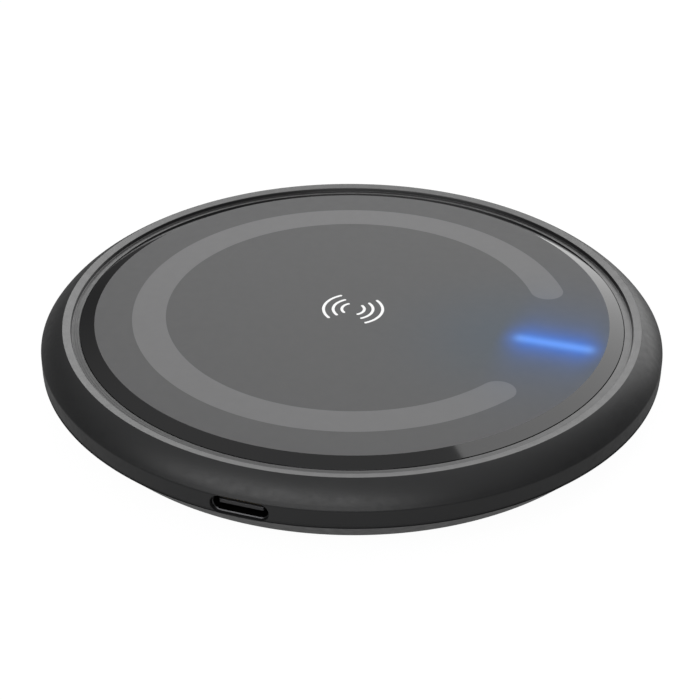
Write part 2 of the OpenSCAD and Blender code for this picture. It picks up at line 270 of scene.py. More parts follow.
def smooth(piece, angle=SOFT_ANGLE):
    """Shades smooth across soft edges and keeps the flats flat."""
    pick(piece)
    bpy.ops.object.shade_smooth_by_angle(angle=math.radians(angle))
    weighted = piece.modifiers.new("weighted", "WEIGHTED_NORMAL")
    weighted.mode = "FACE_AREA"
    weighted.weight = 100
    weighted.keep_sharp = True
    bpy.ops.object.modifier_apply(modifier=weighted.name)


def corner_arc(before, at, after, radius):
    """Points of an arc that rounds one corner of an outline."""
    at = Vector(at)
    to_before = Vector(before) - at
    to_after = Vector(after) - at
    half = to_before.angle(to_after) / 2
    back = min(radius / math.tan(half), to_before.length * 0.49, to_after.length * 0.49)
    start = at + to_before.normalized() * back
    end = at + to_after.normalized() * back
    points = []
    for i in range(CORNER_STEPS + 1):
        t = i / CORNER_STEPS
        points.append(start.lerp(at, t).lerp(at.lerp(end, t), t))
    return [(p.x, p.y) for p in points]


def rounded(corners):
    """An outline from corners of (radius, height) or (radius, height, rounding)."""
    points = []
    count = len(corners)
    for i, corner in enumerate(corners):
        if len(corner) == 2:
            points.append(corner)
        else:
            before = corners[i - 1][:2]
            after = corners[(i + 1) % count][:2]
            points += corner_arc(before, corner[:2], after, corner[2])
    return points


def turned(name, outline):
    """An outline of (radius, height), drawn point by point and spun about the axis.

    An outline that starts on the axis also ends on it; any other one is closed.
    """
    deselect()
    radius, height = outline[0]
    bpy.ops.mesh.primitive_plane_add(size=MM, location=(radius * MM, 0, height * MM))
    piece = bpy.context.object
    piece.name = name
    settle(piece)
    edit_all()
    bpy.ops.mesh.merge(type="CENTER")
    on_axis = radius == 0
    targets = outline[1:] if on_axis else outline[1:] + outline[:1]
    for here, there in zip(outline, targets):
        step = ((there[0] - here[0]) * MM, 0, (there[1] - here[1]) * MM)
        bpy.ops.mesh.extrude_region_move(TRANSFORM_OT_translate={"value": step})
    bpy.ops.mesh.select_all(action="SELECT")
    bpy.ops.mesh.remove_doubles(threshold=DOUBLES)
    bpy.ops.mesh.select_all(action="SELECT")
    bpy.ops.mesh.spin(steps=ROUND_STEPS, angle=TURN, center=(0, 0, 0), axis=(0, 0, 1))
    mend(piece)
    return piece


def stretch_halves(piece, by):
    """Moves the two halves of a round bar apart along X, which leaves straight sides between."""
    for side in (-1, 1):
        pick(piece)
        edit_all()
        bpy.ops.mesh.select_all(action="DESELECT")
        bpy.ops.object.mode_set(mode="OBJECT")
        for v in piece.data.vertices:
            v.select = side * v.co.x > 1e-7
        bpy.ops.object.mode_set(mode="EDIT")
        bpy.ops.transform.translate(value=(side * by * MM, 0, 0))
        bpy.ops.object.mode_set(mode="OBJECT")


def long_bar(name, sections, by):
    """A bar with round ends across X, from (height, radius) sections stacked up Z."""
    deselect()
    height, radius = sections[0]
    bpy.ops.mesh.primitive_circle_add(
        vertices=SMALL_STEPS, radius=radius * MM, fill_type="NGON", location=(0, 0, height * MM))
    piece = bpy.context.object
    piece.name = name
    settle(piece)
    edit_all()
    for lower, upper in zip(sections, sections[1:]):
        rise = (upper[0] - lower[0]) * MM
        grow = upper[1] / lower[1]
        bpy.ops.mesh.extrude_region_move(TRANSFORM_OT_translate={"value": (0, 0, rise)})
        bpy.ops.transform.resize(value=(grow, grow, 1), center_override=(0, 0, 0))
    bpy.ops.object.mode_set(mode="OBJECT")
    stretch_halves(piece, by)
    mend(piece)
    return piece


def socket_bar(name, width, height, places):
    """A bar with round ends that lies along Y at the socket. Places are (y, extra radius)."""
    sections = [(-y, height / 2 + extra) for y, extra in places]
    bar = long_bar(name, sections, (width - height) / 2)
    bar.rotation_euler = (math.pi / 2, 0, 0)
    bar.location = (0, 0, PORT_Z * MM)
    settle(bar)
    mend(bar)
    return bar


def rod(name, radius, low, high, x=0.0, y=0.0, steps=SMALL_STEPS):
    """A plain round rod, used for bosses and to drill holes."""
    deselect()
    bpy.ops.mesh.primitive_cylinder_add(
        vertices=steps, radius=radius * MM, depth=(high - low) * MM,
        location=(x * MM, y * MM, (low + high) / 2 * MM))
    piece = bpy.context.object
    piece.name = name
    settle(piece)
    return piece


def rods(name, radius, low, high, circle_r, angles):
    """One rod at each angle of a circle, joined to one piece."""
    made = []
    for a in angles:
        a = math.radians(a)
        x = circle_r * math.cos(a)
        y = circle_r * math.sin(a)
        made.append(rod(name, radius, low, high, x, y))
    return joined(made, name)


def at_screws(name, radius, low, high):
    """One rod at each screw of the housing."""
    return rods(name, radius, low, high, SCREW_CIRCLE_R, SCREW_ANGLES)


def at_posts(name, radius, low, high):
    """One rod at each post of the board."""
    return rods(name, radius, low, high, POST_CIRCLE_R, POST_ANGLES)


def bent_bar(name, radius, width, half_angle, low, high, steps, turn=0.0):
    """A flat bar bent along a radius, with round ends, centred on an angle."""
    bar = rod(name, width / 2, low, high, x=radius, steps=32)
    pick(bar)
    edit_all()
    bpy.ops.mesh.bisect(
        plane_co=(0, 0, 0), plane_no=(0, 1, 0), clear_inner=True, threshold=DOUBLES / 2)
    bpy.ops.object.mode_set(mode="OBJECT")
    bar.rotation_euler = (0, 0, half_angle)
    settle(bar)
    bpy.ops.object.mode_set(mode="EDIT")
    bpy.ops.mesh.select_all(action="DESELECT")
    bpy.ops.mesh.select_mode(type="EDGE")
    bpy.ops.mesh.select_non_manifold()
    bpy.ops.mesh.spin(steps=steps, angle=half_angle, center=(0, 0, 0), axis=(0, 0, 1))
    bpy.ops.mesh.select_mode(type="VERT")
    bpy.ops.object.mode_set(mode="OBJECT")
    mirror = bar.modifiers.new("mirror", "MIRROR")
    mirror.use_axis = (False, True, False)
    mirror.use_mirror_merge = True
    mirror.merge_threshold = 0.001 * MM
    bpy.ops.object.modifier_apply(modifier=mirror.name)
    bar.rotation_euler = (0, 0, turn)
    settle(bar)
    mend(bar)
    return bar


def shape(piece, tool, action):
    """Cuts a piece with a tool, or joins the tool to it, and uses the tool up."""
    pick(piece)
    modifier = piece.modifiers.new("shape", "BOOLEAN")
    modifier.operation = action
    modifier.solver = "EXACT"
    modifier.object = tool
    bpy.ops.object.modifier_apply(modifier=modifier.name)
    bpy.data.objects.remove(tool)


def cut(piece, tool):
    shape(piece, tool, "DIFFERENCE")


def weld(piece, tool):
    shape(piece, tool, "UNION")


def block(name, low, high):
    """A box between two corners, as a start for a piece or as something to weld on."""
    deselect()
    middle = [(a + b) / 2 * MM for a, b in zip(low, high)]
    size = [(b - a) * MM for a, b in zip(low, high)]
    bpy.ops.mesh.primitive_cube_add(size=1, location=middle, scale=size)
    piece = bpy.context.object
    piece.name = name
    settle(piece)
    return piece


def joined(pieces, name):
    """Several pieces as one."""
    deselect()
    for piece in pieces:
        piece.select_set(True)
    bpy.context.view_layer.objects.active = pieces[0]
    bpy.ops.object.join()
    bpy.context.object.name = name
    return bpy.context.object


def fit_piece(piece, finish, slot, *nodes):
    """Gives a piece its finish, hangs it on the root body and hides the CAD nodes that it stands
    for.
    """
    piece.data.materials.clear()
    piece.data.materials.append(finish)
    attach(piece, "root")
    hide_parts(*nodes)


# ---------------------------------------------------------------- finishes


def link(tree, source, target):
    tree.links.new(source, target)


def maths(tree, operation, a, b=0.0, c=0.0):
    """A sum of numbers and sockets."""
    node = tree.nodes.new("ShaderNodeMath")
    node.operation = operation
    for socket, value in zip(node.inputs, (a, b, c)):
        if isinstance(value, (int, float)):
            socket.default_value = value
        else:
            link(tree, value, socket)
    return node.outputs[0]


def ranged(tree, value, low, high, to_low, to_high, smoothly=False):
    """Carries a value from one range to another, and holds it at the ends."""
    node = tree.nodes.new("ShaderNodeMapRange")
    if smoothly:
        node.interpolation_type = "SMOOTHSTEP"
    link(tree, value, node.inputs["Value"])
    node.inputs["From Min"].default_value = low
    node.inputs["From Max"].default_value = high
    node.inputs["To Min"].default_value = to_low
    node.inputs["To Max"].default_value = to_high
    return node.outputs["Result"]


def mixed(tree, amount, first, second):
    """A colour between two, each a colour or a socket."""
    node = tree.nodes.new("ShaderNodeMix")
    node.data_type = "RGBA"
    link(tree, amount, node.inputs["Factor"])
    for name, value in (("A", first), ("B", second)):
        socket = [s for s in node.inputs if s.name == name and s.type == "RGBA"][0]
        if isinstance(value, tuple):
            socket.default_value = (*value, 1)
        else:
            link(tree, value, socket)
    return [s for s in node.outputs if s.type == "RGBA"][0]


def place(tree, turn=0.0):
    """Where a point is on the pad, in metres from the middle of the resting face."""
    coords = tree.nodes.new("ShaderNodeTexCoord").outputs["Object"]
    if not turn:
        return coords
    mapping = tree.nodes.new("ShaderNodeMapping")
    mapping.inputs["Rotation"].default_value = (0, 0, turn)
    link(tree, coords, mapping.inputs["Vector"])
    return mapping.outputs["Vector"]


def noise(tree, size, detail=2.0, roughness=0.5):
    """Noise whose features are about size millimetres across."""
    node = tree.nodes.new("ShaderNodeTexNoise")
    node.inputs["Scale"].default_value = 1 / (size * MM)
    node.inputs["Detail"].default_value = detail
    node.inputs["Roughness"].default_value = roughness
    link(tree, place(tree), node.inputs["Vector"])
    return node.outputs["Fac"]


def raised(tree, shader, height, depth):
    """Bumps the surface by a height of 0 to 1, times depth in millimetres."""
    node = tree.nodes.new("ShaderNodeBump")
    node.inputs["Strength"].default_value = 1.0
    node.inputs["Distance"].default_value = depth * MM
    link(tree, height, node.inputs["Height"])
    link(tree, node.outputs["Normal"], shader.inputs["Normal"])


def new_finish(name):
    """A new material, with its tree and its shader."""
    material = bpy.data.materials.new(name)
    material.use_nodes = True
    tree = material.node_tree
    return material, tree, tree.nodes["Principled BSDF"]


def varied(colour, amount):
    """A colour a little darker and a little lighter."""
    return tuple(c * (1 - amount) for c in colour), tuple(min(c * (1 + amount), 1) for c in colour)


def gloss(tree, shader, size, roughness, spread, detail=4.0):
    """Roughness that wanders by a spread either way, over patches of a size."""
    patches = noise(tree, size, detail=detail)
    link(tree, ranged(tree, patches, 0.3, 0.7, roughness - spread, roughness + spread),
         shader.inputs["Roughness"])


def moulded(name, colour, roughness, grain, depth, vary=0.12, specular=0.5, metal=0.0):
    """Moulded or cast stuff: a fine grain, and colour and gloss that vary a little."""
    material, tree, shader = new_finish(name)
    cloud = noise(tree, grain * 60, detail=3)
    link(tree, mixed(tree, cloud, *varied(colour, vary)), shader.inputs["Base Color"])
    gloss(tree, shader, grain * 9, roughness, 0.05)
    shader.inputs["Specular IOR Level"].default_value = specular
    shader.inputs["Metallic"].default_value = metal
    raised(tree, shader, noise(tree, grain, detail=3, roughness=0.6), depth)
    return material


def status_glow(tree):
    """The light of the status bar in the face: its halo, its narrow core and a wide dim haze."""
    split = tree.nodes.new("ShaderNodeSeparateXYZ")
    link(tree, place(tree), split.inputs[0])
    x = maths(tree, "DIVIDE", split.outputs["X"], MM)
    y = maths(tree, "DIVIDE", split.outputs["Y"], MM)
    side = maths(tree, "MULTIPLY", y, y)
    fade_in = ranged(tree, x, BAR_START - HALO_PAST, BAR_START + HALO_INTO, 0, 1, smoothly=True)
    fade_out = ranged(tree, x, BAR_END - HALO_INTO, BAR_END + HALO_PAST, 1, 0, smoothly=True)
    spread = maths(tree, "MULTIPLY_ADD", side, 1 / HALO_SIDE ** 2, 1.0)
    halo = maths(tree, "MULTIPLY", maths(tree, "POWER", spread, -1.5),
                 maths(tree, "MULTIPLY", fade_in, fade_out))
    past_start = maths(tree, "SUBTRACT", BAR_START + CORE_INSET, x)
    past_end = maths(tree, "SUBTRACT", x, BAR_END - CORE_INSET)
    past = maths(tree, "MAXIMUM", maths(tree, "MAXIMUM", past_start, past_end), 0.0)
    away = maths(tree, "MULTIPLY_ADD", past, past, side)
    core = maths(tree, "EXPONENT", maths(tree, "MULTIPLY", away, -1 / CORE_SIDE ** 2))
    haze = maths(tree, "EXPONENT", maths(tree, "MULTIPLY", away, -1 / HAZE_SIDE ** 2))
    return halo, core, haze


def tinted(tree, amount, colour):
    """A colour times an amount."""
    node = tree.nodes.new("ShaderNodeVectorMath")
    node.operation = "SCALE"
    node.inputs[0].default_value = colour
    link(tree, amount, node.inputs["Scale"])
    return node.outputs[0]


def added(tree, first, second):
    """Two colours added."""
    node = tree.nodes.new("ShaderNodeVectorMath")
    node.operation = "ADD"
    link(tree, first, node.inputs[0])
    link(tree, second, node.inputs[1])
    return node.outputs[0]


def lit_film(name, colour, roughness, specular):
    """The printed face: even ink under a semi-gloss coat, with the status bar's light painted in:
    the face glows blue round the bar, and its ink is painted a darker blue there.
    """
    material, tree, shader = new_finish(name)
    halo, core, haze = status_glow(tree)
    cloud = noise(tree, 9, detail=3)
    ink = mixed(tree, cloud, *varied(colour, 0.015))
    # painted glow: by the halo and the haze, the ink turns towards a dark blue near the status bar
    painted_glow_tint = maths(tree, "MULTIPLY_ADD", halo, HALO_INK, maths(tree, "MULTIPLY", haze, HAZE_INK))
    link(tree, mixed(tree, painted_glow_tint, ink, GLOW_INK), shader.inputs["Base Color"])
    gloss(tree, shader, 1.6, roughness, 0.02)
    shader.inputs["Specular IOR Level"].default_value = specular
    # painted light: the face itself glows with the status bar's halo and core
    link(tree, added(tree, tinted(tree, halo, HALO_COLOUR), tinted(tree, core, CORE_COLOUR)),
         shader.inputs["Emission Color"])
    shader.inputs["Emission Strength"].default_value = 1.0
    raised(tree, shader, noise(tree, 0.35, detail=2), 0.0006)
    return material


def polished(name, colour, roughness):
    """Polished acrylic or gloss lacquer, with the faint unevenness of a buffed surface."""
    material, tree, shader = new_finish(name)
    cloud = noise(tree, 6, detail=3)
    link(tree, mixed(tree, cloud, *varied(colour, 0.1)), shader.inputs["Base Color"])
    wear = noise(tree, 0.8, detail=5, roughness=0.65)
    link(tree, ranged(tree, wear, 0.35, 0.75, roughness, roughness * 1.35),
         shader.inputs["Roughness"])
    raised(tree, shader, noise(tree, 4, detail=1), 0.001)
    return material


def ring_lines(tree, pitch, distortion, detail):
    """Fine lines that run round the axis, a pitch in millimetres apart."""
    lines = tree.nodes.new("ShaderNodeTexWave")
    lines.wave_type = "RINGS"
    lines.rings_direction = "Z"
    lines.inputs["Scale"].default_value = WAVE_PER_TURN / (pitch * MM)
    lines.inputs["Distortion"].default_value = distortion
    lines.inputs["Detail"].default_value = detail
    link(tree, place(tree), lines.inputs["Vector"])
    return lines.outputs["Fac"]


def brushed_round(name, colour, roughness, pitch, depth):
    """Satin finish with fine turned lines that run round the axis."""
    material, tree, shader = new_finish(name)
    lines = ring_lines(tree, pitch, 0.6, 2.0)
    dark = tuple(c * 0.8 for c in colour)
    link(tree, mixed(tree, lines, dark, colour), shader.inputs["Base Color"])
    gloss(tree, shader, 1.5, roughness, 0.03)
    shader.inputs["Specular IOR Level"].default_value = 0.85
    raised(tree, shader, lines, depth)
    return material


def solder_mask(name, colour):
    """Circuit board lacquer over copper tracks."""
    material, tree, shader = new_finish(name)
    tracks = tree.nodes.new("ShaderNodeTexBrick")
    tracks.inputs["Scale"].default_value = 1 / (3.2 * MM)
    tracks.inputs["Mortar Size"].default_value = 0.03
    tracks.inputs["Mortar Smooth"].default_value = 0.4
    link(tree, place(tree, turn=0.6), tracks.inputs["Vector"])
    light = tuple(c * 1.7 for c in colour)
    link(tree, mixed(tree, tracks.outputs["Fac"], colour, light), shader.inputs["Base Color"])
    gloss(tree, shader, 2, 0.29, 0.05, detail=3)
    raised(tree, shader, tracks.outputs["Fac"], 0.03)
    return material


def litz(name, colour):
    """Enamelled copper: fine strands laid round the coil."""
    material, tree, shader = new_finish(name)
    strands = ring_lines(tree, 0.22, 1.2, 1.0)
    dark = tuple(c * 0.55 for c in colour)
    link(tree, mixed(tree, strands, dark, colour), shader.inputs["Base Color"])
    shader.inputs["Metallic"].default_value = 0.85
    gloss(tree, shader, 0.9, 0.35, 0.07, detail=3)
    raised(tree, shader, strands, 0.05)
    return material


def clear_acrylic(name):
    """Clear acrylic with a slightly frosted surface."""
    material, tree, shader = new_finish(name)
    shader.inputs["Transmission Weight"].default_value = 0.85
    shader.inputs["IOR"].default_value = 1.49
    link(tree, mixed(tree, noise(tree, 1.5), (0.75, 0.85, 1.0), (0.85, 0.92, 1.0)),
         shader.inputs["Base Color"])
    gloss(tree, shader, 0.6, 0.24, 0.06, detail=2)
    return material


satin_shell = moulded("satin_shell", SHELL_BLACK, 0.4, 0.12, 0.0025, specular=0.42)
satin_base = moulded("satin_base", SHELL_BLACK, 0.42, 0.12, 0.003, specular=0.42)
silicone = moulded("silicone", (0.02, 0.02, 0.021), 0.72, 0.2, 0.012, vary=0.2, specular=0.35)
satin_ring = brushed_round("satin_ring", (0.006, 0.006, 0.0065), 0.36, 0.34, 0.004)
black_acrylic = polished("black_acrylic", (0.004, 0.004, 0.0045), 0.05)
grey_film = lit_film("grey_film", FILM_GREY, 0.55, 0.25)
band_ink = lit_film("band_ink", BAND_GREY, 0.5, 0.3)
bar_window = lit_film("bar_window", FILM_GREY, 0.55, 0.25)
white_ink = moulded("white_ink", (0.86, 0.86, 0.86), 0.42, 0.08, 0.001, vary=0.02)
socket_plate = moulded("socket_plate", (0.06, 0.06, 0.062), 0.34, 0.1, 0.001, metal=1.0)
tongue_black = moulded("tongue_black", (0.03, 0.03, 0.032), 0.45, 0.08, 0.002)

# pieces out of sight, which keep their CAD shape
CAD_FINISHES = {
    "plate_adhesive": moulded("tape_white", (0.7, 0.69, 0.62), 0.7, 0.2, 0.01),
    "light_guide": clear_acrylic("clear_acrylic"),
    "status_leds": moulded("led_lens", (0.85, 0.85, 0.7), 0.25, 0.1, 0.002, vary=0.04),
    "circuit_board": solder_mask("solder_mask", (0.012, 0.09, 0.045)),
    "usb_contacts": moulded("contact_gold", (0.83, 0.6, 0.26), 0.25, 0.06, 0.001, metal=1.0),
    "ferrite_tape": moulded("tape_amber", (0.62, 0.45, 0.2), 0.55, 0.2, 0.01),
    "ferrite_sheet": moulded("ferrite", (0.05, 0.05, 0.055), 0.5, 0.25, 0.01, vary=0.25),
    "charging_coil": litz("litz_copper", (0.72, 0.36, 0.18)),
    "coil_leads": litz("litz_lead", (0.74, 0.4, 0.22)),
    "thermistor": moulded("bead_black", (0.03, 0.03, 0.03), 0.4, 0.08, 0.003),
    "controller_chip": moulded("epoxy_black", (0.02, 0.02, 0.021), 0.55, 0.1, 0.004),
    "power_mosfets": moulded("epoxy_grey", (0.03, 0.03, 0.031), 0.5, 0.1, 0.004),
    "resonant_capacitors": moulded("ceramic_tan", (0.45, 0.33, 0.2), 0.4, 0.1, 0.003),
    "filter_capacitors": moulded("ceramic_brown", (0.4, 0.27, 0.16), 0.4, 0.1, 0.003),
    "power_inductor": moulded("inductor_grey", (0.07, 0.07, 0.075), 0.6, 0.15, 0.01, vary=0.25),
    "crystal": moulded("can_steel", (0.62, 0.62, 0.63), 0.28, 0.1, 0.001, metal=1.0),
    "resistors": moulded("resistor_black", (0.02, 0.02, 0.022), 0.35, 0.06, 0.002),
    "board_screws": moulded("screw_zinc", (0.55, 0.55, 0.56), 0.3, 0.1, 0.002, metal=1.0),
    "housing_screws": moulded("screw_black", (0.12, 0.12, 0.125), 0.35, 0.1, 0.002, metal=1.0),
}


# ---------------------------------------------------------------- pieces


def shoulder_curve():
    """From the soft edge of the side up to the crest, nearly straight and a little full."""
    width = PAD_R - CREST_R
    height = CREST_Z - EDGE_Z
    length = math.hypot(width, height)
    points = [(PAD_R, EDGE_Z, EDGE_ROUND)]
    for i in range(SHOULDER_FIRST, SHOULDER_STEPS + 1):
        t = i / SHOULDER_STEPS
        out = 4 * t * (1 - t) * SHOULDER_BULGE / length
        points.append((PAD_R - width * t + height * out, EDGE_Z + height * t + width * out))
    return points


def mouth_tool():
    """Cuts the socket's opening, with a rounded rim, and the pocket behind it."""
    places = [(-PAD_R - OVER, PORT_ROUND)]
    for i in range(PORT_ROUND_STEPS + 1):
        a = math.pi / 2 * i / PORT_ROUND_STEPS
        places.append((-PAD_R + MOUTH_INSET + PORT_ROUND * math.sin(a), PORT_ROUND * math.cos(a)))
    places.append((SOCKET_FRONT_Y + 0.01, 0))
    tool = socket_bar("mouth_tool", PORT_W, PORT_H, places)
    pocket = socket_bar(
        "pocket_tool", SOCKET_W + 2 * POCKET_GAP, SOCKET_H + 2 * POCKET_GAP,
        [(SOCKET_FRONT_Y, 0), (POCKET_DEEP - INNER_R, 0)])
    weld(tool, pocket)
    return tool


def bar_tool(low, high, gap=0.0):
    """The status bar's outline as a block between two heights."""
    radius = BAR_W / 2 + gap
    by = (BAR_END - BAR_START - BAR_W) / 2
    tool = long_bar("bar_tool", [(low, radius), (high, radius)], by)
    tool.location = ((BAR_START + BAR_END) / 2 * MM, 0, 0)
    settle(tool)
    return tool


def build_shell():
    """The upper housing: deck, shoulder, upright side and rebate, bosses and openings."""
    corners = [
        (0.0, DECK_UNDER_Z), (INNER_R, DECK_UNDER_Z, 0.4), (INNER_R, SHELF_Z),
        (INNER_R + LIP_T + LIP_GAP, SHELF_Z), (INNER_R + LIP_T + LIP_GAP, PARTING_Z),
        (GROOVE_R, PARTING_Z), (GROOVE_R, GROOVE_TOP_Z), (PAD_R, GROOVE_TOP_Z, 0.3),
        (PAD_R, SIDE_Z)]
    corners += shoulder_curve()
    corners += [(CREST_R, DECK_Z), (0.0, DECK_Z)]
    shell = turned("shell", rounded(corners))
    weld(shell, at_screws("bosses", BOSS_R, PARTING_Z, DECK_UNDER_Z + BITE))
    cut(shell, at_screws("pilots", PILOT_R, PARTING_Z - OVER, PILOT_TOP_Z))
    cut(shell, bar_tool(DECK_UNDER_Z - OVER, DECK_Z + OVER, BAR_GAP))
    cut(shell, mouth_tool())
    smooth(shell)
    fit_piece(shell, satin_shell, "shell_plastic", "upper_housing")


def build_base():
    """The lower housing: floor, chamfered side and lip, bosses, posts and holes."""
    lip_r = INNER_R + LIP_T
    lip_z = PARTING_Z + LIP_H
    slope = PARTING_Z - FLOOR_Z
    corners = [
        (0.0, BASE_Z), (FOOT_IN_R - FOOT_GAP, BASE_Z, 0.1), (FOOT_IN_R - FOOT_GAP, FOOT_SEAT_Z),
        (FOOT_OUT_R + FOOT_GAP, FOOT_SEAT_Z), (FOOT_OUT_R + FOOT_GAP, BASE_Z, 0.1),
        (BASE_R, BASE_Z, 0.35), (PAD_R, GROOVE_LOW_Z, 0.3), (GROOVE_R, GROOVE_LOW_Z),
        (GROOVE_R, PARTING_Z), (lip_r, PARTING_Z), (lip_r, lip_z, 0.1), (INNER_R, lip_z, 0.1),
        (INNER_R, PARTING_Z), (INNER_R - slope, FLOOR_Z, 0.5), (0.0, FLOOR_Z)]
    base = turned("base", rounded(corners))
    weld(base, at_screws("bosses", BOSS_R, FLOOR_Z - BITE, PARTING_Z))
    weld(base, at_posts("posts", POST_R, FLOOR_Z - BITE, BOARD_Z - BOARD_T))
    cut(base, at_screws("heads", HEAD_R, BASE_Z, SCREW_SEAT_Z))
    cut(base, at_screws("clears", CLEAR_R, SCREW_SEAT_Z - BITE, PARTING_Z + OVER))
    cut(base, at_posts("holes", POST_HOLE_R, POST_HOLE_Z, BOARD_Z))
    cut(base, mouth_tool())
    smooth(base)
    fit_piece(base, satin_base, "base_plastic", "lower_housing")


def build_foot():
    """The rubber ring that the pad stands on."""
    corners = [(FOOT_IN_R, 0.0, 0.2), (FOOT_OUT_R, 0.0, 0.2), (FOOT_OUT_R, FOOT_SEAT_Z),
               (FOOT_IN_R, FOOT_SEAT_Z)]
    foot = turned("foot", rounded(corners))
    smooth(foot)
    fit_piece(foot, silicone, "foot_rubber", "foot_ring")


def build_ring():
    """The ring round the plate: a ledge under the bevel, a steep step and a land."""
    corners = [
        (RING_R, DECK_Z), (CREST_R, DECK_Z), (CREST_R, CREST_Z, 0.05), (LAND_R, LAND_Z, 0.14),
        (LEDGE_R, LEDGE_Z, 0.12), (RING_R, RING_Z, 0.04)]
    ring = turned("ring", rounded(corners))
    smooth(ring)
    fit_piece(ring, satin_ring, "ring_gloss", "trim_ring")


def build_plate():
    """The acrylic plate, whose polished bevel shows round the film."""
    corners = [
        (0.0, PLATE_Z), (PLATE_R, PLATE_Z), (PLATE_R, BEVEL_Z, 0.06), (FACE_R, FACE_Z),
        (FACE_R, FILM_Z), (0.0, FILM_Z)]
    plate = turned("plate", rounded(corners))
    cut(plate, bar_tool(PLATE_Z - OVER, FILM_Z + OVER, BAR_GAP))
    smooth(plate, BEVEL_SHARP)
    fit_piece(plate, black_acrylic, "plate_gloss", "top_plate")


def band(name, low, high):
    """The open band, which leaves room for the status bar."""
    return bent_bar(
        name, BAND_R, BAND_W, math.pi - BAND_END, low, high, BAND_STEPS, turn=math.pi)


def symbol_arcs(name, low, high):
    """The wave symbol: arcs of growing radius on both sides of the middle, as one piece."""
    arcs = []
    for side in (0.0, math.pi):
        for radius in SYMBOL_RADII:
            arcs.append(bent_bar(
                name, radius, SYMBOL_STROKE, SYMBOL_HALF_ANGLE, low, high, SYMBOL_STEPS,
                turn=side + SYMBOL_TURN))
    symbol = joined(arcs, name)
    symbol.location = (SYMBOL_AT[0] * MM, SYMBOL_AT[1] * MM, 0)
    settle(symbol)
    return symbol


def build_face():
    """The printed film with its inlaid band and symbol, and the status bar's window."""
    film = turned("film", [(0.0, FILM_Z), (FACE_R, FILM_Z), (FACE_R, FACE_Z), (0.0, FACE_Z)])
    cut(film, band("band_tool", PRINT_Z, FACE_Z + OVER))
    cut(film, symbol_arcs("symbol_tool", PRINT_Z, FACE_Z + OVER))
    cut(film, bar_tool(FILM_Z - OVER, FACE_Z + OVER))
    smooth(film)
    fit_piece(film, grey_film, "face_grey", "face_film")
    print_band = band("print_band", PRINT_Z, FACE_Z)
    smooth(print_band)
    fit_piece(print_band, band_ink, "band_grey", "band_print")
    symbol = symbol_arcs("symbol", PRINT_Z, FACE_Z)
    smooth(symbol)
    fit_piece(symbol, white_ink, "print_white", "charge_symbol")
    window = bar_tool(FILM_Z, FACE_Z)
    window.name = "window"
    smooth(window)
    fit_piece(window, bar_window, "window_blue", "light_window")


def build_socket():
    """The socket's steel shell, with its rolled mouth and four legs."""
    front, back = SOCKET_FRONT_Y, SOCKET_BACK_Y
    socket = socket_bar(
        "socket", SOCKET_W, SOCKET_H,
        [(front, -SOCKET_ROLL_OUT), (front + SOCKET_ROLL_OUT, 0), (back, 0)])
    cut(socket, socket_bar(
        "inner_tool", SOCKET_W - 2 * SOCKET_WALL, SOCKET_H - 2 * SOCKET_WALL_H,
        [(front - OVER, SOCKET_ROLL_IN), (front, SOCKET_ROLL_IN), (front + SOCKET_ROLL_IN, 0),
         (back + OVER, 0)]))
    for side in (-1, 1):
        for y in LEG_PLACES:
            x = side * (SOCKET_W - LEG_T) / 2
            weld(socket, block(
                "leg", (x - LEG_T / 2, y - LEG_W / 2, LEG_LOW_Z),
                (x + LEG_T / 2, y + LEG_W / 2, PORT_Z - SOCKET_H / 4)))
    smooth(socket)
    fit_piece(socket, socket_plate, "socket_steel", "usb_shell")


def build_tongue():
    """The tongue inside the socket, with a rounded tip and a root that fills the shell."""
    back = SOCKET_BACK_Y
    tongue = block(
        "tongue", (-TONGUE_W / 2, TONGUE_TIP_Y, PORT_Z - TONGUE_T / 2),
        (TONGUE_W / 2, back - TONGUE_SHORT, PORT_Z + TONGUE_T / 2))
    edit_all()
    bpy.ops.mesh.select_all(action="DESELECT")
    bpy.ops.object.mode_set(mode="OBJECT")
    # the four edges round the tip
    for edge in tongue.data.edges:
        ends = [tongue.data.vertices[v].co.y for v in edge.vertices]
        edge.select = max(ends) < (TONGUE_TIP_Y + 0.1) * MM
    bpy.ops.object.mode_set(mode="EDIT")
    bpy.ops.mesh.bevel(
        offset=TONGUE_ROUND * MM, offset_type="OFFSET", segments=3, affect="EDGES")
    bpy.ops.object.mode_set(mode="OBJECT")
    weld(tongue, socket_bar(
        "root_block", SOCKET_W - 2 * SOCKET_WALL, SOCKET_H - 2 * SOCKET_WALL_H,
        [(back - TONGUE_ROOT_L, 0), (back, 0)]))
    smooth(tongue)
    fit_piece(tongue, tongue_black, "tongue_black", "usb_tongue")


def finish_cad_nodes():
    """Gives the pieces inside the pad their finishes."""
    for node, finish in CAD_FINISHES.items():
        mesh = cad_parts[node].data
        mesh.materials.clear()
        mesh.materials.append(finish)


# ---------------------------------------------------------------- studio


def seen_from_camera(azimuth):
    """The pad's own direction of an azimuth counted from the camera's right, anticlockwise."""
    return math.radians(azimuth) + VIEW_TURN


